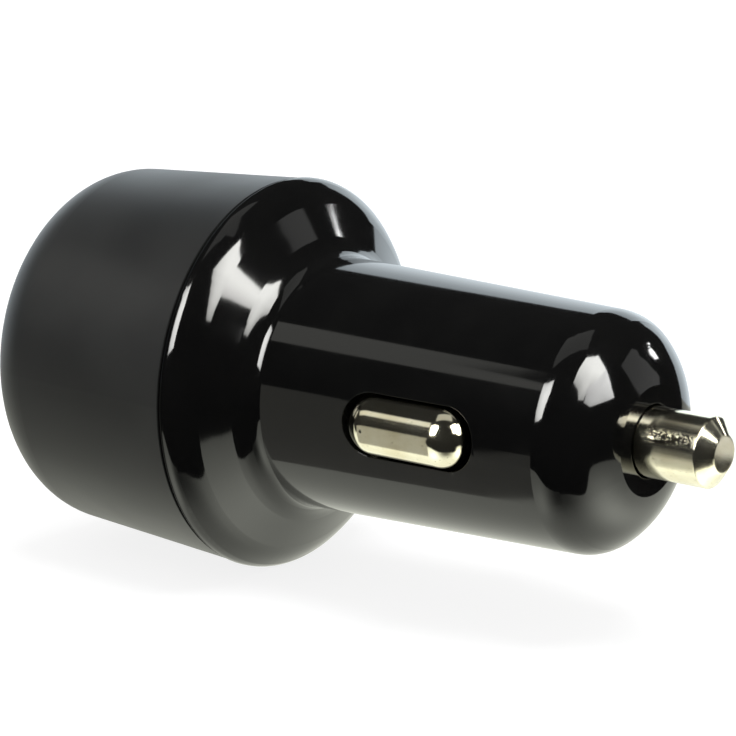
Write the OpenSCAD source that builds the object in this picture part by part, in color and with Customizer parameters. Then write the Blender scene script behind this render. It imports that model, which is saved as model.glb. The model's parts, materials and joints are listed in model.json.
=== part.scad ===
// Car charger plug for a 12 V accessory socket, with two USB-A ports in its head.
// The axis is Z. The plug stands on its port face at z = 0, with the sprung tip upwards.
// Millimetres and degrees throughout.

/* [Head cover] */
// Step between the cover and the collar at the seam
head_step = 0.1; // [0:0.05:0.3]
// Length of the cover, from the port face to its open rim
head_len = 21.2; // [20:0.1:28]
// Draft of the cover, narrower towards the port face
head_draft = 3.9; // [1:0.1:6]
// Radius that rounds the cover over into the port face
head_round = 5.4; // [3:0.1:6.5]
// Wall of the cover
head_wall = 1.8; // [1.2:0.1:2.2]
// Gap that shows as the dark seam between cover and collar
seam_gap = 0.3; // [0.1:0.05:0.6]

/* [Collar and neck] */
// Diameter of the collar at the seam
collar_d = 33; // [32:0.1:38]
// Short straight land at the collar's edge
collar_land = 0.05; // [0.05:0.05:0.5]
// Tight radius at the collar's edge
collar_edge = 1.3; // [0.8:0.1:1.8]
// Larger radius of the collar's crown
collar_crown = 6.2; // [5:0.1:7]
// Angle at which the edge radius hands over to the crown
collar_turn = 40; // [30:1:45]
// Angle of the cone between the crown and the neck
cone_turn = 60.5; // [56:0.5:64]
// Radius of the hollow where the cone ends
neck_open = 4.8; // [3.5:0.1:5.5]
// Angle at which that hollow hands over to the neck fillet
neck_turn = 43.5; // [35:0.5:50]
// Radius of the neck fillet, where the barrel begins
neck_fillet = 1.4; // [1:0.1:2.2]
// Length of the spigot that the cover snaps over
spigot_len = 5; // [4:0.1:7]
// Wall of the spigot
spigot_wall = 1.4; // [1:0.1:2]
// Diameter of the spigot
spigot_d = 28.6; // [28:0.1:30]
// Radial play between spigot and cover
spigot_play = 0.15; // [0.05:0.05:0.3]
// Radius of the snap bead on the spigot
bead_r = 0.35; // [0.2:0.05:0.5]

/* [Barrel and dome] */
// Diameter of the barrel where the dome begins
barrel_end_d = 19.7; // [18.5:0.1:22]
// Height of the dome's beginning above the seam
barrel_len = 31.7; // [30:0.1:40]
// Draft of the barrel, narrower towards the tip
barrel_draft = 1.4; // [0.5:0.1:2]
// Radius of the dome's shoulder
dome_side = 3.4; // [2.5:0.1:4.5]
// Radius of the dome's crown
dome_crown = 7.4; // [6:0.1:9]
// Angle at which the shoulder hands over to the crown
dome_turn = 38; // [30:1:50]
// Angle at which the crown ends in the flat round the tip
dome_last = 81; // [75:1:85]
// Wall of the barrel and the dome
shell_wall = 1.6; // [1.2:0.1:1.8]
// Wall round the tip hole
tip_wall = 1.7; // [1.4:0.1:2.2]

/* [Side contacts] */
// Height of the contact windows' middle above the seam
window_mid = 20; // [18:0.1:22]
// Length of each window
window_len = 12.5; // [11:0.1:14]
// Width of each window
window_w = 5.3; // [4.5:0.1:6]
// Gap between window and pad at the pad's ends
pad_end_gap = 0.6; // [0.45:0.05:0.8]
// Gap between window and pad along its sides
pad_side_gap = 0.2; // [0.2:0.05:0.8]
// How far the pad stands proud of the barrel
pad_proud = 1.7; // [0.8:0.05:1.9]
// Thickness of the contact strip
strip_t = 0.4; // [0.3:0.05:0.5]
// Width of the strip
strip_w = 5.8; // [5.4:0.1:6.2]
// Distance of the strip's outer face from the axis
strip_x = 7.75; // [7.3:0.05:7.9]
// How far the strip runs past the window at its free end
strip_lap = 1.2; // [0.8:0.1:1.6]
// Distance from the window's middle down to the strip's root
strip_root = 11.3; // [10:0.1:12.5]
// Length of the solder fork at the root
fork_len = 2; // [1.5:0.1:2.5]

/* [Tip] */
// Diameter of the tip
tip_d = 5.7; // [5:0.1:6.5]
// Length of the cylinder that stands out of the dome
tip_reach = 5.6; // [4:0.1:6.5]
// Length of the cone at its end
nose_len = 1; // [0.6:0.1:1.6]
// Diameter of the flat on the nose
nose_d = 3; // [1.5:0.1:4]
// Radial play of the tip in its hole
tip_play = 0.15; // [0.05:0.01:0.25]
// Diameter of the shoulder that keeps the tip in
shoulder_d = 7.4; // [6.8:0.1:7.8]
// Thickness of the shoulder
shoulder_t = 1.4; // [1:0.1:1.8]
// Stroke of the tip
tip_stroke = 2.5; // [1.5:0.1:2.8]
// Diameter of the stem inside the spring
stem_d = 2.4; // [2:0.1:3]
// Length of the stem
stem_len = 3.6; // [2:0.1:4]
// Mean diameter of the tip spring
spring_d = 4.4; // [4:0.1:4.8]
// Wire of the tip spring
spring_wire = 0.5; // [0.4:0.05:0.6]
// Turns of the tip spring, closed end turns included
spring_turns = 8; // [6:1:9]
// Wall of the spring cup
cup_wall = 0.3; // [0.25:0.05:0.4]
// Depth of the spring cup
cup_depth = 3.6; // [2:0.1:4]
// Length of the cup's two legs, which straddle the board
cup_leg = 3; // [1.5:0.1:4]

/* [Circuit board] */
// Thickness of the board
board_t = 1.6; // [1:0.1:2]
// Distance of the board's lower edge from the inner side of the port face
board_foot = 0.6; // [0.3:0.1:1.5]
// Width of the board in the head
board_head_w = 21; // [19:0.5:22]
// Width of the board at the roots of the contacts
board_root_w = 14; // [13:0.1:14.2]
// Width of the board in the barrel
board_barrel_w = 10; // [8:0.1:10.4]
// Play between the board and the parts that sit on it
seat_gap = 0.05; // [0.02:0.01:0.1]

/* [USB ports] */
// Width of a receptacle
usb_w = 13.1; // [12.9:0.1:13.5]
// Height of a receptacle
usb_h = 5.7; // [5.6:0.1:6]
// Length of a receptacle
usb_len = 14; // [12:0.1:15]
// Sheet of the receptacle shell
usb_sheet = 0.3; // [0.25:0.05:0.4]
// How far the mouths sit back from the port face
usb_recess = 0.5; // [0.2:0.1:1]
// Play between a receptacle and its slot
usb_play = 0.15; // [0.1:0.05:0.3]
// Thickness of the tongue
tongue_t = 1.84; // [1.7:0.02:1.9]
// Width of the tongue
tongue_w = 11.1; // [10.8:0.1:11.3]
// How far the tongue sits back from the mouth
tongue_back = 1.7; // [1.5:0.1:2.5]
// Gap between the tongue and the shell's outer side
tongue_gap = 0.66; // [0.5:0.02:0.8]

/* [Components] */
// Diameter of the electrolytic capacitors
can_d = 6.3; // [5:0.1:6.5]
// Length of the input capacitor
input_can_len = 11; // [9:0.1:12]
// Length of the output capacitor
output_can_len = 7.7; // [6:0.1:8]
// Diameter of the inductor
inductor_d = 8; // [6:0.1:8.5]
// Height of the inductor
inductor_h = 5.2; // [4:0.1:5.6]
// Wire of the inductor's winding
winding_wire = 0.5; // [0.4:0.05:0.6]

/* [Hidden] */
$fn = 96;

// Length by which a cut runs past the face that it opens
past = 1;

// A point at an angle and distance from the origin
function dir(angle) = [cos(angle), sin(angle)];

// Head cover: the draft line keeps a distance from the axis, measured square to it
head_d = collar_d - 2 * head_step;
head_line = head_d / 2 * cos(head_draft) - head_len * sin(head_draft);
round_c = [(head_line - head_round + head_round * sin(head_draft)) / cos(head_draft), head_round];

// Shell, with heights counted from the seam
shell_z = head_len + seam_gap;
edge_c = [collar_d / 2 - collar_edge, collar_land];
edge_end = edge_c + collar_edge * dir(collar_turn);
crown_c = edge_c + (collar_edge - collar_crown) * dir(collar_turn);
barrel_line = barrel_end_d / 2 * cos(barrel_draft) + barrel_len * sin(barrel_draft);
crown_end = crown_c + collar_crown * dir(cone_turn);
neck_step = neck_open * dir(cone_turn) + (neck_fillet - neck_open) * dir(neck_turn);
cone_way = [-sin(cone_turn), cos(cone_turn)];
cone_share = barrel_line + neck_fillet - (crown_end + neck_step) * dir(barrel_draft);
cone_end = crown_end + cone_share / (cone_way * dir(barrel_draft)) * cone_way;
open_c = cone_end + neck_open * dir(cone_turn);
open_end = open_c - neck_open * dir(neck_turn);
fillet_c = cone_end + neck_step;
neck_end = fillet_c - neck_fillet * dir(barrel_draft);
barrel_end = [barrel_end_d / 2, barrel_len];
side_c = barrel_end - dome_side * dir(barrel_draft);
side_end = side_c + dome_side * dir(dome_turn);
dome_c = side_c + (dome_side - dome_crown) * dir(dome_turn);
dome_end = dome_c + dome_crown * dir(dome_last);
inner_top = dome_end[1] - tip_wall;
cavity_step = 0.4;
cavity_neck = neck_end[1] - 1.2;
bead_s = -0.6 * spigot_len;

// Radius of the barrel's outer side at a height above the seam
function barrel_r(s) = (barrel_line - s * sin(barrel_draft)) / cos(barrel_draft);
// Radius of the barrel's inner side at a height above the seam
function bore_r(s) = (barrel_line - shell_wall - s * sin(barrel_draft)) / cos(barrel_draft);

// Side contacts
pad_len = window_len - 2 * pad_end_gap;
pad_r = window_w / 2 - pad_side_gap;
pad_span = pad_len - 2 * pad_r;
pad_x = barrel_r(window_mid) + pad_proud - pad_r;
window_z = shell_z + window_mid;
root_z = window_z - strip_root;
strip_top = window_z + window_len / 2 + strip_lap;
strip_low = root_z - fork_len / 2;
strip_corner = 1.2;
fork_t = strip_t;
fork_reach = 1.8;

// Tip, with heights counted from the port face
dome_z = shell_z + dome_end[1];
rim_z = dome_z + tip_reach;
nose_z = rim_z + nose_len;
shoulder_top = shell_z + inner_top - 0.1;
shoulder_z = shoulder_top - shoulder_t;

// Board
board_z = head_wall + board_foot;
board_y = board_t / 2 + seat_gap;
spring_reserve = 3;
spring_room = spring_turns * spring_wire + tip_stroke + spring_reserve;
cup_floor_z = shoulder_z - spring_room;
board_end = cup_floor_z - cup_wall - seat_gap;
rail_grip = 1.2;
rail_in = board_head_w / 2 - rail_grip;
board_narrow_z = shell_z + 2.5;
board_slim_z = root_z + fork_len / 2 + 2.8;

// Ports
usb_z = usb_recess;
usb_mid = board_y + usb_h / 2;
usb_in_w = usb_w - 2 * usb_sheet;
usb_in_h = usb_h - 2 * usb_sheet;
usb_corner = 0.6;
tongue_y = board_y + usb_h - usb_sheet - tongue_gap - tongue_t;
tongue_z = usb_z + tongue_back;
block_len = 4;
usb_back = usb_z + usb_len;
pin_w = 1;
pin_t = 0.25;
pin_x = [-3.5, -1, 1, 3.5];
latch_x = [-3, 3];

// Components
can_y = board_y + can_d / 2;
can_wrap = 0.35;
input_can_z = board_end - cup_leg - input_can_len - 0.4;
output_can_z = usb_back + 2.2;
output_can_x = -3.9;
lead_d = 0.6;
lead_pitch = 2.5;
inductor_z = usb_back + inductor_d / 2 + 1;
chip_x = 4.4;
chip_z = usb_back + 5;
fuse_len = 6;
fuse_z = board_end - cup_leg - 0.4 - fuse_len / 2;
lead_out = 1.3;
port_chip_len = 2.9;
port_chip_z = fuse_z - fuse_len / 2 - 2 - port_chip_len / 2;
block_size = [1.6, 3.2, 1.4];
block_x = rail_in - block_size[0] / 2 - 0.2;
flat_size = [1.2, 2, 0.5];

// A slice of a disc between two angles
module pie(centre, r, from, to) {
    mid = (from + to) / 2;
    intersection() {
        translate(centre) circle(r);
        polygon([centre, centre + 2 * r * dir(from), centre + 3 * r * dir(mid), centre + 2 * r * dir(to)]);
    }
}

module rounded_rect(w, h, r) {
    square([w - 2 * r, h], center = true);
    square([w, h - 2 * r], center = true);
    for (x = [-1, 1], y = [-1, 1]) {
        translate([x * (w / 2 - r), y * (h / 2 - r)]) circle(r);
    }
}

// An obround with its long side along Y of the drawing plane
module obround(len, w) {
    square([w, len - w], center = true);
    for (y = [-1, 1]) translate([0, y * (len - w) / 2]) circle(d = w);
}

// Turns a drawing in X and Z into a plate across Y
module plate_xz(t) {
    rotate([90, 0, 0]) linear_extrude(t, center = true) children();
}

// Puts what is built on the board's +Y side on either side
module on_side(side) {
    rotate([0, 0, side > 0 ? 0 : 180]) children();
}

// Half section of the head cover, brought in by a wall
module head_outline(inset) {
    line = head_line - inset;
    low = round_c + (head_round - inset) * dir(-head_draft);
    rim = [(line + head_len * sin(head_draft)) / cos(head_draft), head_len];
    polygon([[0, inset], [round_c[0], inset], low, rim, [0, head_len]]);
    intersection() {
        translate(round_c) circle(head_round - inset);
        translate([0, inset]) square([head_d, head_len]);
    }
}

module port_slots() {
    for (side = [-1, 1]) {
        translate([0, side * usb_mid, -past]) linear_extrude(head_wall + 2 * past)
            rounded_rect(usb_w + 2 * usb_play, usb_h + 2 * usb_play, usb_corner + usb_play);
    }
}

// Rails in the head that take the board's long edges
module board_rails() {
    rail_t = 1.1;
    rail_reach = collar_d / 2 - rail_in;
    rail_top = head_len - spigot_len - 1;
    rail_y = board_y + seat_gap + rail_t / 2;
    for (x = [-1, 1], y = [-1, 1]) {
        translate([x * (rail_in + rail_reach / 2), y * rail_y, rail_top / 2])
            cube([rail_reach, rail_t, rail_top], center = true);
    }
}

module head_cover() {
    color("#2c2c2b") difference() {
        union() {
            difference() {
                rotate_extrude() head_outline(0);
                rotate_extrude() {
                    head_outline(head_wall);
                    mouth_z = head_len - spigot_len - 0.4;
                    translate([0, mouth_z]) square([spigot_d / 2 + spigot_play, spigot_len + past]);
                    translate([spigot_d / 2, shell_z + bead_s]) circle(bead_r + spigot_play);
                }
            }
            intersection() {
                board_rails();
                rotate_extrude() head_outline(head_wall / 2);
            }
        }
        port_slots();
    }
}

// Half section of the shell's outside above the seam
module shell_outline() {
    difference() {
        intersection() {
            union() {
                polygon([[0, 0], [collar_d / 2, 0], [collar_d / 2, collar_land], edge_end, crown_end, cone_end,
                    open_end, neck_end, barrel_end, side_end, dome_end, [0, dome_end[1]]]);
                pie(edge_c, collar_edge, 0, collar_turn);
                pie(crown_c, collar_crown, collar_turn, cone_turn);
                pie(side_c, dome_side, barrel_draft, dome_turn);
                pie(dome_c, dome_crown, dome_turn, dome_last);
            }
            square([collar_d, dome_end[1]]);
        }
        pie(open_c, neck_open, 180 + neck_turn, 180 + cone_turn);
        pie(fillet_c, neck_fillet, 180 + barrel_draft, 180 + neck_turn);
    }
}

// Half section of the hollow inside the shell
module shell_cavity() {
    in_r = spigot_d / 2 - spigot_wall;
    in_side = side_c + (dome_side - shell_wall) * dir(dome_turn);
    in_top = dome_c + (dome_crown - shell_wall) * dir(dome_last);
    in_end = side_c + (dome_side - shell_wall) * dir(barrel_draft);
    low = -spigot_len - past;
    intersection() {
        union() {
            polygon([[0, low], [in_r, low], [in_r, cavity_step], [bore_r(cavity_neck), cavity_neck],
                in_end, in_side, in_top, [0, in_top[1]]]);
            pie(side_c, dome_side - shell_wall, barrel_draft, dome_turn);
            pie(dome_c, dome_crown - shell_wall, dome_turn, dome_last);
        }
        translate([0, low]) square([collar_d, inner_top - low]);
    }
}

module shell() {
    color("#101011") translate([0, 0, shell_z]) difference() {
        rotate_extrude() difference() {
            union() {
                shell_outline();
                translate([0, -spigot_len]) square([spigot_d / 2, spigot_len + cavity_step]);
                translate([spigot_d / 2, bead_s]) circle(bead_r);
            }
            shell_cavity();
        }
        translate([0, 0, inner_top - past]) cylinder(d = tip_d + 2 * tip_play, h = tip_wall + 2 * past);
        for (side = [0, 180]) {
            rotate([0, 0, side]) translate([0, 0, window_mid]) rotate([90, 0, 90])
                linear_extrude(collar_d) obround(window_len, window_w);
        }
    }
}

module tip_contact() {
    color("#cfc8b0") rotate_extrude() polygon([
        [0, shoulder_z - stem_len], [stem_d / 2, shoulder_z - stem_len], [stem_d / 2, shoulder_z],
        [shoulder_d / 2, shoulder_z], [shoulder_d / 2, shoulder_top], [tip_d / 2, shoulder_top],
        [tip_d / 2, rim_z], [nose_d / 2, nose_z], [0, nose_z]]);
}

// Height of the spring's wire after a share of its turns, with one closed turn at each end
function coil_rise(turn, turns, pitch, closed) =
    turn < 1 ? turn * closed :
    turn < turns - 1 ? closed + (turn - 1) * pitch :
    closed + (turns - 2) * pitch + (turn - turns + 1) * closed;

module coil(mean_d, wire, turns, z_low, z_high) {
    rings = 14;
    sides = 8;
    closed = wire * 1.05;
    pitch = (z_high - z_low - wire - 2 * closed) / (turns - 2);
    steps = turns * rings;
    points = [for (i = [0:steps], j = [0:sides - 1])
        let (turn = i / rings, a = 360 * turn, b = 360 * j / sides, r = mean_d / 2 + wire / 2 * cos(b))
        [r * cos(a), r * sin(a), z_low + wire / 2 + coil_rise(turn, turns, pitch, closed) + wire / 2 * sin(b)]];
    walls = [for (i = [0:steps - 1], j = [0:sides - 1])
        let (k = (j + 1) % sides)
        [i * sides + j, i * sides + k, (i + 1) * sides + k, (i + 1) * sides + j]];
    first = [for (j = [sides - 1:-1:0]) j];
    last = [for (j = [0:sides - 1]) steps * sides + j];
    polyhedron(points, concat([first], walls, [last]));
}

module tip_spring() {
    color("#b9b9b4") coil(spring_d, spring_wire, spring_turns, cup_floor_z + 0.05, shoulder_z - 0.05);
}

module tip_spring_cup() {
    leg_w = 1.2;
    out_r = spring_d / 2 + spring_wire / 2 + 0.15 + cup_wall;
    low = cup_floor_z - cup_wall;
    color("#c9a24a") {
        rotate_extrude() polygon([[0, low], [out_r, low], [out_r, cup_floor_z + cup_depth],
            [out_r - cup_wall, cup_floor_z + cup_depth], [out_r - cup_wall, cup_floor_z], [0, cup_floor_z]]);
        for (y = [-1, 1]) {
            translate([-leg_w / 2, y * (board_y + cup_wall / 2) - cup_wall / 2, low - cup_leg])
                cube([leg_w, cup_wall, cup_leg + cup_wall / 2]);
        }
    }
}

// Section across the pad: an arch of the strip's sheet, from the strip's face to the crest
module pad_arch(gap) {
    skirt = pad_x - strip_x + strip_t;
    r = pad_r - gap;
    translate([0, -skirt]) square([r, skirt]);
    intersection() {
        circle(r);
        square([r, r]);
    }
}

// Solid pad, or the hollow behind it when a gap is given, standing along X with its length along Z
module pad_form(gap) {
    translate([pad_x, 0, window_z]) rotate([0, 90, 0]) {
        for (side = [0, 1]) {
            translate([side ? pad_span / 2 : -pad_span / 2, 0, 0])
                rotate([0, 0, side ? -90 : 90]) rotate_extrude(angle = 180) pad_arch(gap);
        }
        rotate([90, 0, 90]) linear_extrude(pad_span, center = true) {
            pad_arch(gap);
            mirror([1, 0]) pad_arch(gap);
        }
    }
}

module strip_outline() {
    translate([0, (strip_top + strip_low) / 2]) rounded_rect(strip_w, strip_top - strip_low, strip_corner);
}

module ground_contact(side) {
    color("#d6cfb8") on_side(side) {
        difference() {
            union() {
                translate([strip_x - strip_t, 0, 0]) rotate([90, 0, 90])
                    linear_extrude(strip_t) strip_outline();
                pad_form(0);
            }
            pad_form(strip_t);
            translate([strip_x - strip_t - past, 0, window_z]) rotate([90, 0, 90])
                linear_extrude(past + 0.01) obround(pad_len - 2 * strip_t, 2 * (pad_r - strip_t));
        }
        for (y = [-1, 1]) {
            fork_y = y * (board_y + seat_gap + fork_t / 2) - fork_t / 2;
            translate([strip_x - strip_t - fork_reach, fork_y, strip_low])
                cube([fork_reach + strip_t / 2, fork_t, fork_len]);
        }
    }
}

module board_outline() {
    head = board_head_w / 2;
    root = board_root_w / 2;
    slim = board_barrel_w / 2;
    half = [[head - 1.5, board_z], [head, board_z + 1.5], [head, board_narrow_z - (head - root)],
        [root, board_narrow_z], [root, board_slim_z - (root - slim)], [slim, board_slim_z], [slim, board_end]];
    polygon(concat(half, [for (i = [len(half) - 1:-1:0]) [-half[i][0], half[i][1]]]));
}

module main_board() {
    hole = lead_d + 0.5;
    color("#1f5c39") difference() {
        plate_xz(board_t) board_outline();
        for (x = [-1, 1]) {
            translate([x * lead_pitch / 2, 0, input_can_z - lead_out]) rotate([90, 0, 0])
                cylinder(d = hole, h = 2 * board_t, center = true);
            translate([output_can_x + x * lead_pitch / 2, 0, output_can_z + output_can_len + lead_out])
                rotate([90, 0, 0]) cylinder(d = hole, h = 2 * board_t, center = true);
        }
    }
}

module usb_shell(side) {
    latch_w = 2;
    latch_len = 5;
    latch_z = 3.2;
    latch_in = 0.45;
    color("#b8babb") on_side(side) translate([0, usb_mid, usb_z]) {
        difference() {
            linear_extrude(usb_len) difference() {
                rounded_rect(usb_w, usb_h, usb_corner);
                rounded_rect(usb_in_w, usb_in_h, usb_corner - usb_sheet);
            }
            for (x = latch_x, y = [-1, 1]) {
                translate([x, y * usb_h / 2, latch_z + latch_len / 2])
                    cube([latch_w + 0.6, 2, latch_len], center = true);
            }
        }
        for (x = latch_x, y = [-1, 1]) {
            translate([x - latch_w / 2, y * (usb_h - usb_sheet) / 2, latch_z + latch_len + 0.1])
                rotate([y * -90 * latch_in / latch_len * 2 / PI, 0, 0])
                    translate([0, -usb_sheet / 2, -latch_len]) cube([latch_w, usb_sheet, latch_len]);
        }
    }
}

module usb_insulator(side) {
    block_z = usb_back - block_len;
    fit = 0.08;
    color("#1a1a1c") on_side(side) difference() {
        union() {
            translate([0, usb_mid, block_z]) linear_extrude(block_len - 0.3)
                rounded_rect(usb_in_w - 2 * fit, usb_in_h - 2 * fit, usb_corner - usb_sheet);
            translate([-tongue_w / 2, tongue_y, tongue_z]) cube([tongue_w, tongue_t, block_z - tongue_z + 0.5]);
        }
        for (x = pin_x) {
            translate([x - pin_w / 2 - 0.05, tongue_y - 1, tongue_z + 0.5])
                cube([pin_w + 0.1, 1 + pin_t + 0.05, usb_back]);
        }
    }
}

module usb_contacts(side) {
    foot = 0.9;
    color("#cdb15e") on_side(side) for (x = pin_x) {
        translate([x - pin_w / 2, tongue_y - 0.05, tongue_z + 0.6])
            cube([pin_w, pin_t, usb_back + 0.3 - tongue_z - 0.6]);
        translate([x - pin_w / 2, board_y, usb_back + 0.3 - pin_t])
            cube([pin_w, tongue_y + pin_t - 0.05 - board_y, pin_t]);
        translate([x - pin_w / 2, board_y, usb_back + 0.3 - pin_t]) cube([pin_w, pin_t, foot]);
    }
}

// Can with its crimp groove, a sleeve rolled over both ends, standing along Z with its leads below
module capacitor(len) {
    r = can_d / 2;
    groove = 0.3;
    groove_z = 1.4;
    difference() {
        rotate_extrude() difference() {
            square([r, len]);
            translate([r + 0.15, groove_z]) circle(groove + 0.15);
            translate([r - can_wrap - 1.4, len - 0.2]) square([1.4, 1]);
            translate([0, -1]) square([r - can_wrap - 0.4, 1.3]);
        }
        for (a = [0, 60, 120]) {
            rotate([0, 0, a]) translate([0, 0, len]) cube([can_d - 2.4, 0.3, 0.5], center = true);
        }
    }
}

module input_capacitor() {
    color("#23335c") translate([0, can_y, input_can_z]) capacitor(input_can_len);
}

module output_capacitor() {
    color("#23335c") translate([output_can_x, can_y, output_can_z + output_can_len])
        mirror([0, 0, 1]) capacitor(output_can_len);
}

// One lead from a can's foot, straight out, then across into the board
module lead(x, z_from, way) {
    root = 0.25;
    bend = z_from + way * lead_out;
    translate([x, can_y, min(z_from - way * root, bend)]) cylinder(d = lead_d, h = lead_out + root, $fn = 24);
    translate([x, can_y, bend]) sphere(d = lead_d, $fn = 24);
    translate([x, can_y, bend]) rotate([90, 0, 0])
        cylinder(d = lead_d, h = can_y + board_t / 2 + 0.6, $fn = 24);
}

module capacitor_leads() {
    color("#c3c5c6") for (x = [-1, 1]) {
        lead(x * lead_pitch / 2, input_can_z, -1);
        lead(output_can_x + x * lead_pitch / 2, output_can_z + output_can_len, 1);
    }
}

module inductor_core() {
    flange = 1;
    core_r = inductor_d / 2 - 1.8;
    color("#4b4b4d") translate([0, -board_y, inductor_z]) rotate([90, 0, 0]) {
        cylinder(d = inductor_d, h = flange);
        cylinder(r = core_r, h = inductor_h);
        translate([0, 0, inductor_h - flange]) cylinder(d = inductor_d, h = flange);
    }
}

// Layers of round wire between the flanges, drawn as one ring for each turn
module inductor_winding() {
    core_r = inductor_d / 2 - 1.8;
    low = 1 + seat_gap;
    high = inductor_h - 1 - seat_gap;
    turns = floor((high - low) / winding_wire);
    inner = core_r + seat_gap;
    outer = inner + 1.1;
    color("#b5652d") translate([0, -board_y, inductor_z]) rotate([90, 0, 0]) rotate_extrude() {
        translate([inner, low + winding_wire / 2]) square([outer - inner, (turns - 1) * winding_wire]);
        for (i = [0:turns - 1]) {
            translate([outer, low + (i + 0.5) * winding_wire]) circle(d = winding_wire);
        }
    }
}

// Moulded chip with gull-wing legs along two sides, lying on the board's +Y side
module chip(w, l, h, legs, pitch) {
    leg_w = 0.4;
    leg_t = 0.2;
    reach = 1;
    rise = h / 2;
    translate([-w / 2, 0.1, -l / 2]) cube([w, h, l]);
    for (side = [-1, 1], i = [0:legs - 1]) {
        z = (i - (legs - 1) / 2) * pitch - leg_w / 2;
        x = side * (w / 2 + reach / 4);
        translate([x - reach / 4, rise - leg_t / 2, z]) cube([reach / 2, leg_t, leg_w]);
        translate([side * (w / 2 + reach / 2) - leg_t / 2, 0, z]) cube([leg_t, rise + leg_t / 2, leg_w]);
        translate([side * (w / 2 + reach * 3 / 4) - reach / 4, 0, z]) cube([reach / 2, leg_t, leg_w]);
    }
}

module converter_chip() {
    color("#28292b") translate([chip_x, board_y, chip_z]) chip(3.9, 4.9, 1.45, 4, 1.27);
}

module port_chip() {
    color("#28292b") on_side(-1) translate([0, board_y, port_chip_z]) chip(1.6, port_chip_len, 1.1, 3, 0.95);
}

// Moulded two-lead part with a band of metal round each end
module rectifier_diode() {
    body = [2.6, 2.1, 3.4];
    color("#202123") on_side(-1) translate([7.2, board_y, usb_back + 3.8]) {
        translate([-body[0] / 2, 0.15, -body[2] / 2]) cube(body);
        for (z = [-1, 1]) {
            translate([-0.7, 0, z * body[2] / 2 - 0.55]) cube([1.4, 1, 1.1]);
        }
    }
}

module input_fuse() {
    body = [2.6, 2.4, fuse_len];
    cap = 1.3;
    color("#e4e2da") on_side(-1) translate([0, board_y, fuse_z]) {
        translate([-body[0] / 2 + 0.1, 0.1, -body[2] / 2 + 0.1]) cube(body - [0.2, 0.2, 0.2]);
        for (z = [-1, 1]) {
            translate([-body[0] / 2, 0, z * (body[2] - cap) / 2 - cap / 2]) cube([body[0], body[1], cap]);
        }
    }
}

// Small block part: a body between two end caps
module chip_part(w, l, h) {
    cap = l / 4;
    translate([-w / 2 + 0.04, 0.03, -l / 2 + 0.05]) cube([w - 0.08, h - 0.06, l - 0.1]);
    for (z = [-1, 1]) {
        translate([-w / 2, 0, z * (l - cap) / 2 - cap / 2]) cube([w, h, cap]);
    }
}

module chip_capacitors() {
    row_z = usb_back + 3.2;
    inner_x = block_x - 1.5 * block_size[0];
    places = [[1, block_x, row_z], [-1, -inner_x, row_z], [-1, -block_x, row_z],
        [1, lead_pitch / 2 + 1.6, input_can_z - lead_out - 1.6]];
    color("#a58a63") for (p = places) {
        on_side(p[0]) translate([p[1], board_y, p[2]]) chip_part(block_size[0], block_size[1], block_size[2]);
    }
}

module chip_resistors() {
    places = [[1, 0.3, usb_back + 3], [1, 0.3, usb_back + 6], [-1, 3.2, root_z + 4], [-1, -3.2, root_z + 4]];
    color("#303236") for (p = places) {
        on_side(p[0]) translate([p[1], board_y, p[2]]) chip_part(flat_size[0], flat_size[1], flat_size[2]);
    }
}

head_cover();
shell();
tip_contact();
tip_spring();
tip_spring_cup();
ground_contact(1);  // ground_contact_right
ground_contact(-1);  // ground_contact_left
main_board();
usb_shell(1);  // usb_shell_a
usb_shell(-1);  // usb_shell_b
usb_insulator(1);  // usb_insulator_a
usb_insulator(-1);  // usb_insulator_b
usb_contacts(1);  // usb_contacts_a
usb_contacts(-1);  // usb_contacts_b
input_capacitor();
output_capacitor();
capacitor_leads();
inductor_core();
inductor_winding();
converter_chip();
port_chip();
rectifier_diode();
input_fuse();
chip_capacitors();
chip_resistors();
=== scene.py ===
import bpy
import json
import math
from mathutils import Matrix, Vector


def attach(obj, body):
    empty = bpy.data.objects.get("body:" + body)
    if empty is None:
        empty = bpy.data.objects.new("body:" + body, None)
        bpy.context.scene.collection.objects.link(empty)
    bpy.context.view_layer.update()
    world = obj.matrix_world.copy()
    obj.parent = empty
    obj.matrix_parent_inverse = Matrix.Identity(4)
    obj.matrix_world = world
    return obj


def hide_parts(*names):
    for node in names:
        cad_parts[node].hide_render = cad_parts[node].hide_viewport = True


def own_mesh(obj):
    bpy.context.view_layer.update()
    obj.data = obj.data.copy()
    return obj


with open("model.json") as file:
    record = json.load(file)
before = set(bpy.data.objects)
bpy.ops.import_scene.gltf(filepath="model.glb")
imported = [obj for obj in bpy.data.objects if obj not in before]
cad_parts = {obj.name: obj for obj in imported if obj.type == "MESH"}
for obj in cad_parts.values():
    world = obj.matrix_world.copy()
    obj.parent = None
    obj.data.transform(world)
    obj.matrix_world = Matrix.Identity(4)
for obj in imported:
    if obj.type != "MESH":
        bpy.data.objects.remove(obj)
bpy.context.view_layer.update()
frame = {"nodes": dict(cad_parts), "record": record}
nodes = frame["nodes"]
scene = bpy.context.scene

# Camera: the plug lies with -Y up and its axis level, seen a little from above and from the tip's side
SHELL_FOOT = Vector((0, 0, 0.0215))  # middle of the collar's lower end
UNIT = 0.0165  # the collar's radius; the distance and the scale below count in it
SWING = 0.627
ROLL = 0.182
TURN = math.radians(106.5)
DISTANCE = 19.0
FOOT_PIXEL = (286.9, 372.56)
PIXELS_PER_UNIT = 196.6
IMAGE = 736
SENSOR = 36

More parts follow.
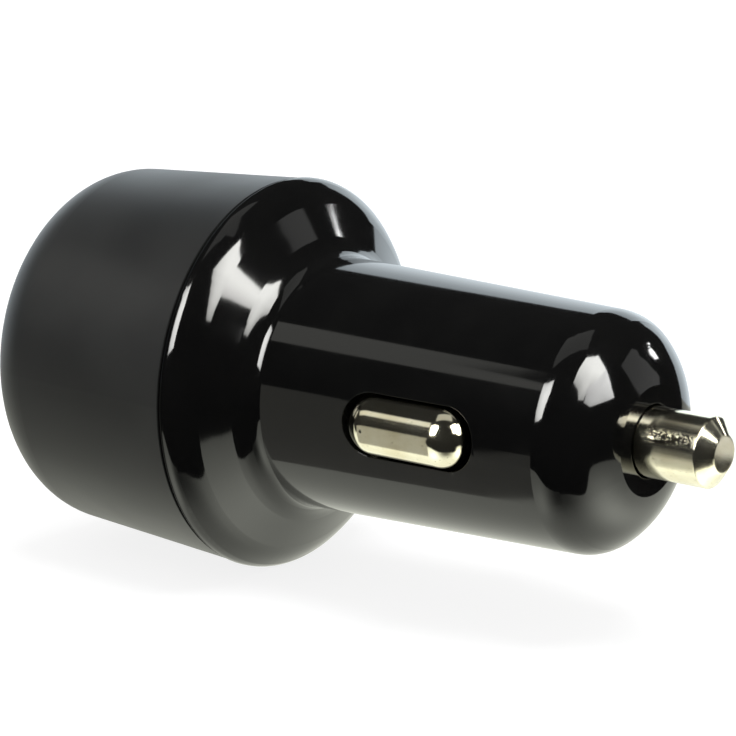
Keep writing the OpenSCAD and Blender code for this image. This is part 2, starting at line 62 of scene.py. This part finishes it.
axis = Vector((math.cos(SWING) * math.cos(ROLL), math.cos(SWING) * math.sin(ROLL), -math.sin(SWING)))
side = Vector((-math.sin(SWING) * math.cos(ROLL), -math.sin(SWING) * math.sin(ROLL), -math.cos(SWING)))
rise = Vector((math.sin(ROLL), -math.cos(ROLL), 0))
contact = math.cos(TURN) * rise + math.sin(TURN) * side
across = axis.cross(contact)
to_camera = Matrix((contact, across, axis)).transposed()
to_object = to_camera.transposed()
foot_seen = Vector(((FOOT_PIXEL[0] - IMAGE / 2) / PIXELS_PER_UNIT,
                    (FOOT_PIXEL[1] - IMAGE / 2) / PIXELS_PER_UNIT, DISTANCE)) * UNIT
eye = SHELL_FOOT - to_object @ foot_seen
RIGHT = to_object @ Vector((1, 0, 0))
UP = to_object @ Vector((0, -1, 0))
BACK = to_object @ Vector((0, 0, -1))

camera = bpy.data.objects.new("camera", bpy.data.cameras.new("camera"))
scene.collection.objects.link(camera)
camera.data.sensor_width = SENSOR
camera.data.lens = PIXELS_PER_UNIT * DISTANCE / IMAGE * SENSOR
camera.data.clip_start = 0.01
camera.data.clip_end = 50
camera.matrix_world = Matrix.Translation(eye) @ Matrix((RIGHT, UP, BACK)).transposed().to_4x4()
scene.camera = camera
scene.view_settings.view_transform = "Standard"
MIDDLE = Vector((0, 0, 0.036))  # of the plug; the studio stands round it


def way(x, y):
    """Direction seen from the object, x degrees to the right and y degrees up of the camera."""
    turn = math.radians(math.hypot(x, y))
    spin = math.atan2(y, x)
    return (RIGHT * math.cos(spin) + UP * math.sin(spin)) * math.sin(turn) + BACK * math.cos(turn)


def link(name, mesh):
    piece = bpy.data.objects.new(name, mesh)
    scene.collection.objects.link(piece)
    return piece


# Materials
COVER_END = 0.0212  # the narrow gap from here to the shell gets painted shade, a low specular level
FULL_GLOSS = 0.5
SEAM_SHADE_GLOSS = 0.04


class Nodes:
    """The node tree of a material or a world, with short calls for the nodes used here."""

    def __init__(self, owner, output="OutputMaterial"):
        self.owner = owner
        owner.use_nodes = True
        self.tree = owner.node_tree
        self.tree.nodes.clear()
        self.out = self.tree.nodes.new("ShaderNode" + output)

    def add(self, kind, settings=None, **sockets):
        """A new node, with its settings and with a value or a link on each named socket."""
        node = self.tree.nodes.new("ShaderNode" + kind)
        for key, value in (settings or {}).items():
            setattr(node, key, value)
        for key, value in sockets.items():
            self.put(node.inputs[key.replace("_", " ")], value)
        return node

    def put(self, socket, value):
        if isinstance(value, bpy.types.NodeSocket):
            self.tree.links.new(value, socket)
        else:
            socket.default_value = value

    def math(self, operation, a, b=0.0):
        node = self.add("Math", {"operation": operation})
        self.put(node.inputs[0], a)
        self.put(node.inputs[1], b)
        return node.outputs[0]

    def place(self, scale=(1, 1, 1)):
        coordinates = self.add("TexCoord")
        mapping = self.add("Mapping", Vector=coordinates.outputs["Object"], Scale=scale)
        return mapping.outputs[0]

    def spot(self):
        """Place in the plug's own frame, as three outputs."""
        return self.add("SeparateXYZ", Vector=self.add("TexCoord").outputs["Object"]).outputs

    def noise(self, scale, detail=3.0, stretch=(1, 1, 1), rough=0.5):
        node = self.add("TexNoise", Vector=self.place(stretch), Scale=scale, Detail=detail, Roughness=rough)
        return node.outputs["Fac"]

    def ramp(self, value, low, high, start=0.0, end=1.0):
        """Low up to the start and high from the end on, with a straight run between."""
        node = self.add("MapRange", Value=value, From_Min=start, From_Max=end, To_Min=low, To_Max=high)
        return node.outputs[0]

    def band(self, value, rise, fall):
        """1 between the two stretches of the value, 0 outside of them."""
        return self.math("MULTIPLY", self.ramp(value, 0, 1, *rise), self.ramp(value, 1, 0, *fall))

    def shown(self):
        """1 for the rays that show a surface: seen directly, in a reflection or through something clear."""
        path = self.add("LightPath").outputs
        direct = self.math("MAXIMUM", path["Is Camera Ray"], path["Is Glossy Ray"])
        return self.math("MAXIMUM", direct, path["Is Transmission Ray"])

    def mix(self, share, first, second):
        node = self.add("Mix", {"data_type": "RGBA"})
        self.put(node.inputs[0], share)
        for socket, value in ((node.inputs[6], first), (node.inputs[7], second)):
            self.put(socket, value if isinstance(value, bpy.types.NodeSocket) else (*value, 1))
        return node.outputs[2]

    def rounded(self, radius):
        """Normal that rounds every sharp edge by a small radius."""
        return self.add("Bevel", {"samples": 6}, Radius=radius).outputs[0]

    def bump(self, height, strength, distance, normal=None):
        node = self.add("Bump", Height=height, Strength=strength, Distance=distance)
        if normal:
            self.put(node.inputs["Normal"], normal)
        return node.outputs[0]

    def surface(self, shader):
        self.tree.links.new(shader, self.out.inputs[0])
        return self.owner


def nodes_of(name):
    """The empty node tree of a new material."""
    return Nodes(bpy.data.materials.new(name))


def soft_touch():
    n = nodes_of("soft_touch_cover")
    grain = n.noise(9000, 2)
    cloud = n.noise(120, 4)
    # painted shade in the seam gap: the cover's specular level falls low near its end
    seam_shaded_gloss = n.ramp(n.spot()["Z"], FULL_GLOSS, SEAM_SHADE_GLOSS, COVER_END - 0.00016, COVER_END - 0.0001)
    colour = n.mix(n.ramp(cloud, 0, 1, 0.35, 0.65), (0.012, 0.012, 0.0118), (0.017, 0.017, 0.0165))
    shader = n.add("BsdfPrincipled", Base_Color=colour, Roughness=n.ramp(cloud, 0.38, 0.44, 0.3, 0.7),
                   IOR=1.4, Specular_IOR_Level=seam_shaded_gloss, Normal=n.bump(grain, 0.08, 0.00002, n.rounded(0.00012)))
    return n.surface(shader.outputs[0])


def gloss_shell():
    n = nodes_of("gloss_moulding")
    haze = n.noise(260, 5)
    sink = n.noise(70, 1)
    # painted shade in the seam gap: the shell's specular level is low just above the cover's end
    seam_shaded_gloss = n.ramp(n.spot()["Z"], SEAM_SHADE_GLOSS, FULL_GLOSS, COVER_END + 0.0004, COVER_END + 0.0005)
    colour = n.mix(n.ramp(haze, 0, 1, 0.3, 0.7), (0.0042, 0.0042, 0.0042), (0.0056, 0.0056, 0.0054))
    shader = n.add("BsdfPrincipled", Base_Color=colour, Roughness=n.ramp(haze, 0.055, 0.085, 0.3, 0.75),
                   IOR=1.5, Specular_IOR_Level=seam_shaded_gloss, Normal=n.bump(sink, 0.04, 0.0002, n.rounded(0.00008)))
    return n.surface(shader.outputs[0])


def plated():
    """Nickel, with dark specks over a band along one side of the tip, and painted shade, dark and dull, where the
    side contacts lie deep in their windows.
    """
    n = nodes_of("nickel_plating")
    draw = n.noise(700, 5, (1, 1, 0.12), 0.6)
    specks = n.noise(5200, 3)
    # fine noise for the dark specks in a band on one side of the tip
    band_speckle = n.noise(5200, 2, (1, 1, 0.7), 0.7)
    cloud = n.noise(420, 4)
    spot = n.spot()
    turn = n.math("ARCTAN2", n.math("MULTIPLY", spot["Y"], -1.0), spot["X"])
    # a band on one side of the tip, between two turns round its axis and two heights, gets dark specks
    dark_speck_band = n.math("MULTIPLY", n.band(turn, (0.16, 0.3), (0.6, 0.75)),
                     n.band(spot["Z"], (0.0588, 0.0594), (0.063, 0.0634)))
    # painted shade: the nickel turns dark and rough deep in the side-contact windows, below the pads
    window_painted_shade = n.math("MULTIPLY", n.ramp(n.math("ABSOLUTE", spot["X"]), 1, 0, 0.0086, 0.0092),
                  n.ramp(spot["Z"], 1, 0, 0.05, 0.052))
    colour = n.mix(n.ramp(cloud, 0, 1, 0.4, 0.7), (0.84, 0.8, 0.63), (0.74, 0.68, 0.49))
    colour = n.mix(n.ramp(specks, 1, 0, 0.27, 0.33), colour, (0.36, 0.32, 0.22))
    colour = n.mix(n.math("MULTIPLY", n.ramp(band_speckle, 1, 0, 0.52, 0.59), dark_speck_band), colour, (0.04, 0.034, 0.024))
    # colour of the painted shade deep in the windows
    colour = n.mix(window_painted_shade, colour, (0.05, 0.046, 0.036))
    rough = n.math("ADD", n.ramp(draw, 0.06, 0.13, 0.3, 0.7), n.ramp(spot["Z"], 0, 0.035, 0.055, 0.058))
    rough = n.math("ADD", rough, n.math("MULTIPLY", window_painted_shade, 0.3))
    shader = n.add("BsdfPrincipled", Base_Color=colour, Metallic=1.0, Roughness=rough,
                   Normal=n.bump(draw, 0.12, 0.00002, n.rounded(0.00025)))
    return n.surface(shader.outputs[0])


def plain(name, dark, light, rough, metallic=0.0, bump=0.1):
    """Slightly uneven surface between two colours."""
    n = nodes_of(name)
    cloud = n.noise(300, 4)
    fine = n.noise(2500, 2)
    colour = n.mix(n.ramp(cloud, 0, 1, 0.3, 0.7), dark, light)
    shader = n.add("BsdfPrincipled", Base_Color=colour, Metallic=metallic, IOR=1.5,
                   Roughness=n.ramp(cloud, rough * 0.8, rough * 1.2, 0.3, 0.7), Normal=n.bump(fine, bump, 0.00003))
    return n.surface(shader.outputs[0])


looks = {
    "soft_black": soft_touch(),
    "gloss_black": gloss_shell(),
    "nickel": plated(),
    "spring_steel": plain("spring_wire", (0.42, 0.42, 0.4), (0.6, 0.6, 0.58), 0.28, metallic=1.0),
    "cup_brass": plain("cup_brass", (0.55, 0.4, 0.16), (0.75, 0.58, 0.28), 0.3, metallic=1.0),
    "board_green": plain("solder_mask", (0.012, 0.09, 0.035), (0.02, 0.15, 0.06), 0.35),
    "port_steel": plain("port_shell_steel", (0.5, 0.5, 0.5), (0.66, 0.66, 0.66), 0.24, metallic=1.0),
    "port_plastic": plain("port_insulator", (0.012, 0.012, 0.013), (0.03, 0.03, 0.03), 0.5),
    "port_gold": plain("contact_gold", (0.7, 0.48, 0.18), (0.88, 0.66, 0.3), 0.2, metallic=1.0),
    "can_sleeve": plain("can_sleeve", (0.012, 0.02, 0.08), (0.025, 0.04, 0.14), 0.2),
    "tinned_wire": plain("tinned_wire", (0.55, 0.55, 0.56), (0.72, 0.72, 0.72), 0.25, metallic=1.0),
    "ferrite": plain("ferrite", (0.05, 0.05, 0.055), (0.1, 0.1, 0.105), 0.7, bump=0.4),
    "copper_wire": plain("enamelled_copper", (0.4, 0.13, 0.04), (0.62, 0.25, 0.09), 0.22, metallic=1.0),
    "chip_black": plain("moulded_chip", (0.014, 0.014, 0.016), (0.03, 0.03, 0.032), 0.55),
    "fuse_body": plain("fuse_ceramic", (0.6, 0.59, 0.55), (0.78, 0.77, 0.73), 0.45),
    "chip_brown": plain("chip_ceramic", (0.26, 0.17, 0.09), (0.42, 0.3, 0.17), 0.4),
}
for part in frame["record"]["subparts"]:
    cad = nodes[part["node"]]
    for socket in cad.material_slots:
        socket.material = looks[part["material_slot"]]


# The tip's spring shortens as the tip is pressed in, so a copy of its coil stands for the rigid solid
coil = link("tip_spring_coil", nodes["tip_spring"].data.copy())
coil.data.materials.clear()
coil.data.materials.append(looks["spring_steel"])
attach(coil, "housing")
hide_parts("tip_spring")
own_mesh(coil)


# Studio: lit panels, reflected on the plug only, stand where the reflections on its dome and its collar place them
MILLIMETRES = 0.001
NEAR = 0.6  # distance of the panels that only the dome is to show
FAR = 2.5  # radius of the dark screen round the camera's side
DEEP = 2.3  # distance of the panels just before it
JUST_INSIDE = FAR - 0.02
JUST_OUTSIDE = FAR + 0.1
DOME = Vector((0.006, -0.005, 0.056))
COLLAR = Vector((-0.003, -0.014, 0.024))
NOSE = Vector((0, -0.001, 0.0646))
RIM_START = 0.72  # where a panel begins to change towards its rim
COOL = (0.9, 1.0, 1.06)
WARM = (1.0, 1.02, 0.9)


def glow(name, colour, strength):
    """Plain light of a colour, scaled by the mesh's own level at each corner."""
    n = nodes_of(name)
    level = n.add("Attribute", {"attribute_name": "level"}).outputs["Fac"]
    return n.surface(n.add("Emission", Color=(*colour, 1), Strength=n.math("MULTIPLY", level, strength)).outputs[0])


def reflected_only(piece):
    """Studio piece that shows in reflections, and neither lights nor shades anything."""
    piece.visible_camera = False
    piece.visible_diffuse = False
    piece.visible_transmission = False
    piece.visible_volume_scatter = False
    piece.visible_shadow = False


def lit_mesh(name, points, faces, levels, colour, strength):
    """A studio piece with a level of light at each point."""
    mesh = bpy.data.meshes.new(name)
    mesh.from_pydata(points, [], faces)
    attribute = mesh.attributes.new("level", "FLOAT", "POINT")
    for i, value in enumerate(levels):
        attribute.data[i].value = value
    mesh.materials.append(glow(name, colour, strength))
    reflected_only(link(name, mesh))


def panel(name, corners, strength, colour=(1, 1, 1), rim=1.0):
    """A lit panel between corners given as places in space, with its level at the rim or at each corner."""
    middle = sum(corners, Vector()) / len(corners)
    count = len(corners)
    inner = [middle.lerp(corner, RIM_START) for corner in corners]
    points = [middle] + inner + list(corners)
    faces = [(0, 1 + i, 1 + (i + 1) % count) for i in range(count)]
    faces += [(1 + i, 1 + count + i, 1 + count + (i + 1) % count, 1 + (i + 1) % count) for i in range(count)]
    rims = rim if isinstance(rim, list) else [rim] * count
    lit_mesh(name, points, faces, [1.0] + [0.5 + 0.5 * level for level in rims] + rims, colour, strength)


def card(name, corners, strength, distance=NEAR, colour=(1, 1, 1), centre=DOME):
    """A panel whose corners are seen from a centre in the given directions."""
    steps = 5
    ring = []
    for i, (x, y) in enumerate(corners):
        nx, ny = corners[(i + 1) % len(corners)]
        ring += [centre + way(x + (nx - x) * s / steps, y + (ny - y) * s / steps) * distance for s in range(steps)]
    panel(name, ring, strength, colour)


def shell_of(name, loop, distance, strength):
    """A domed screen round the camera's direction, out to a loop of directions."""
    rings = 14
    points = [MIDDLE + BACK * distance]
    for r in range(1, rings + 1):
        points += [MIDDLE + way(x * r / rings, y * r / rings) * distance for x, y in loop]
    count = len(loop)
    faces = [(0, i + 1, (i + 1) % count + 1) for i in range(count)]
    for r in range(rings - 1):
        a, b = 1 + r * count, 1 + (r + 1) * count
        faces += [(a + i, b + i, b + (i + 1) % count, a + (i + 1) % count) for i in range(count)]
    lit_mesh(name, points, faces, [1.0] * len(points), (1, 1, 1), strength)


def softened(outline):
    """The outline with its corners cut twice, so that it runs in a smooth curve."""
    for _ in range(2):
        cut = []
        for (x, y), (nx, ny) in zip(outline, outline[1:] + outline[:1]):
            cut += [(0.75 * x + 0.25 * nx, 0.75 * y + 0.25 * ny), (0.25 * x + 0.75 * nx, 0.25 * y + 0.75 * ny)]
        outline = cut
    return outline


# Outline of the dark side of the room, where the camera stands, as directions from the plug
ROOM = [(130, -14), (118, -25), (96, -26), (74, -28), (54, -31), (45, -35), (43, -50), (37, -57), (15, -57),
        (-5, -57), (-22, -56), (-32, -53), (-42, -48), (-52, -42), (-68, -36), (-98, -33), (-108, -15), (-111, 20),
        (-106, 55), (-86, 96), (-50, 122), (-18, 131), (6, 140), (34, 136), (56, 119), (72, 104), (85, 96),
        (97, 90), (108, 83), (119, 73), (127, 56), (134, 20)]
shell_of("dark_room", softened(ROOM), distance=FAR, strength=0.02)


def places(*corners):
    """Places in the plug's own frame, given in millimetres."""
    return [Vector(corner) * MILLIMETRES for corner in corners]


# The key light: one large softbox, and the part of it that only the dome sees, close before the tip
panel("key_softbox", places((32, -92, 108), (7, -117, 130), (-28, -150, 160), (-19, -94, 142), (-15.5, -61, 132),
                            (-15, -41, 127), (5, -39, 112), (18, -35, 105), (22, -27, 101), (27, -29, 98)),
      strength=20, colour=(1, 1, 0.96), rim=[0.5, 0.9, 1, 1, 1, 0.95, 0.6, 0.4, 0.35, 0.35])
panel("key_corner", places((-0.3, -20, 74), (-0.6, -16.5, 75.3), (-1.4, -12.5, 76.6), (-2.4, -9, 78),
                           (1.5, -9.5, 77.6), (6.5, -10.2, 77.3), (10.5, -10.8, 77), (13.4, -13.4, 76.2),
                           (12, -15.6, 75.5), (10.9, -17.8, 75), (5, -18, 74)),
      strength=13, colour=(1, 1, 0.98), rim=[1.3, 1.4, 1.2, 1.0, 0.7, 0.7, 0.6, 0.5, 0.6, 0.8, 1.2])
panel("ceiling", places((-3, -102, 91), (-57, -146, 52), (-12, -138, -20), (48, -93, 14)),
      strength=0.52, colour=(1, 1, 0.96))
panel("left_softbox", places((72, -24, 42), (74, -62, 47), (117, -148, 32), (122, -138, -35), (180, -45, -20)),
      strength=19, colour=(1, 1, 0.97), rim=[0.85, 1, 0.8, 0.4, 0.25])

# Small lamps, and the dim surfaces of the room
card("small_lamp", [(100, 50), (103, 53), (108, 47), (112, 38), (107, 36), (102, 43)], strength=14)
card("bulb_upper", [(98.6, 57), (100.9, 58.4), (103, 57), (100.9, 56)], strength=20, distance=DEEP, centre=COLLAR)
card("bulb_lower", [(98.2, 52.6), (100.9, 53), (103.4, 52.8), (100.9, 52.3)], strength=30, distance=DEEP,
     centre=COLLAR)
card("bulb_link", [(100.3, 52.9), (100.4, 56.2), (101.4, 56.2), (101.5, 52.9)], strength=4, distance=DEEP,
     centre=COLLAR)
card("side_reflector", [(71, 36), (81, 53), (87, 50), (90, 43), (100, 33), (112, 12), (112, -3), (104, -6), (97, 2),
                        (90, 11), (82, 22)], strength=0.6, distance=DEEP, colour=(1, 1, 0.98))
card("nose_light", [(106, -21), (109, -15), (115, -15), (118, -21), (115, -27), (109, -27)], strength=0.8,
     distance=0.025, centre=NOSE)
card("left_band", [(-82, 40), (-82, 59), (-52, 59), (-56, 50), (-55, 40)], strength=0.85, distance=JUST_INSIDE,
     colour=(1, 1, 0.93), centre=MIDDLE)
card("left_wall", [(-70, -2), (-95, -2), (-95, -45), (-90, -80), (-66, -80), (-66.5, -60), (-68.5, -35),
                   (-69.5, -20)], strength=0.42, distance=JUST_INSIDE, colour=(1, 0.99, 0.88), centre=MIDDLE)


def hill(x, y, at_x, at_y, wide, high):
    """Smooth hump, 1 at its middle."""
    return math.exp(-((x - at_x) / wide) ** 2 / 2 - ((y - at_y) / high) ** 2 / 2)


def fade(value, start, end):
    """Smooth step from 0 at the start to 1 at the end."""
    share = min(1.0, max(0.0, (value - start) / (end - start)))
    return share * share * (3 - 2 * share)


def above(x, y):
    """Level of the white screens over and behind the plug."""
    screen = 1.6 + 0.5 * hill(x, y, 95, 115, 25, 25) - 0.6 * hill(x, y, -125, 15, 14, 35)
    return screen * (1 - 0.45 * fade(math.hypot(x, y), 148, 178))


def below(x, y):
    """Level of the lit table under the plug: two pools of light with a darker stretch between them."""
    table = 0.75 + 0.38 * fade(-y, 25, 45)
    table += 2.1 * hill(x, y, 66, -63, 20, 14) + 1.0 * hill(x, y, -42, -71, 14, 14) - 1.0 * hill(x, y, 5, -60, 27, 12)
    return table * (1 - 0.25 * fade(math.hypot(x, y), 150, 178))


def surround(name, side, level_at, colour):
    """Half of a bright ball round everything, above or below the camera's own level."""
    turns, steps = 48, 45
    width = turns + 1
    seen = [(180 * j / steps * math.cos(i * math.pi / turns),
             180 * j / steps * side * math.sin(i * math.pi / turns)) for j in range(steps + 1) for i in range(width)]
    faces = [(j * width + i, j * width + i + 1, (j + 1) * width + i + 1, (j + 1) * width + i)
             for j in range(steps) for i in range(turns)]
    points = [MIDDLE + way(x, y) * JUST_OUTSIDE for x, y in seen]
    lit_mesh(name, points, faces, [level_at(x, y) for x, y in seen], colour, 1)


surround("upper_surround", 1, above, COOL)
surround("lower_surround", -1, below, WARM)

# White background, dimmer as a light than as it shows
BACKGROUND_LIGHT = 0.55
scene.world = bpy.data.worlds.new("studio")
n = Nodes(scene.world, "OutputWorld")
n.surface(n.add("Background", Color=(1, 1, 1, 1), Strength=n.ramp(n.shown(), BACKGROUND_LIGHT, 1)).outputs[0])


def lamp(name, x, y, distance, size, power):
    """Round soft light that shines on the plug's middle and shows in nothing."""
    data = bpy.data.lights.new(name, "AREA")
    data.shape = "DISK"
    data.size = size
    data.energy = power
    piece = bpy.data.objects.new(name, data)
    scene.collection.objects.link(piece)
    spot = MIDDLE + way(x, y) * distance
    piece.location = spot
    piece.rotation_mode = "QUATERNION"
    piece.rotation_quaternion = (MIDDLE - spot).to_track_quat("-Z", "Y")
    piece.visible_glossy = False
    piece.visible_camera = False


lamp("top_light", x=10, y=70, distance=0.6, size=0.4, power=3.0)

# Floor: takes the plug's shadow, glows for the rays that show it, and is clear from below
FLOOR_Y = 0.0166
HALF = 3.0
FLOOR_SHADE = 0.3
FLOOR_GLOW = 0.84
floor_mesh = bpy.data.meshes.new("floor")
floor_mesh.from_pydata([(-HALF, FLOOR_Y, -HALF), (HALF, FLOOR_Y, -HALF), (HALF, FLOOR_Y, HALF),
                        (-HALF, FLOOR_Y, HALF)], [], [(0, 1, 2, 3)])
floor = link("floor", floor_mesh)
floor.visible_glossy = False
n = nodes_of("floor")
matt = n.add("BsdfDiffuse", Color=(FLOOR_SHADE, FLOOR_SHADE, FLOOR_SHADE, 1))
white = n.add("Emission", Color=(1, 1, 1, 1), Strength=n.math("MULTIPLY", n.shown(), FLOOR_GLOW))
both = n.add("AddShader")
n.put(both.inputs[0], matt.outputs[0])
n.put(both.inputs[1], white.outputs[0])
front = n.add("MixShader")
n.put(front.inputs[0], n.add("NewGeometry").outputs["Backfacing"])
n.put(front.inputs[1], both.outputs[0])
n.put(front.inputs[2], n.add("BsdfTransparent").outputs[0])
floor_mesh.materials.append(n.surface(front.outputs[0]))
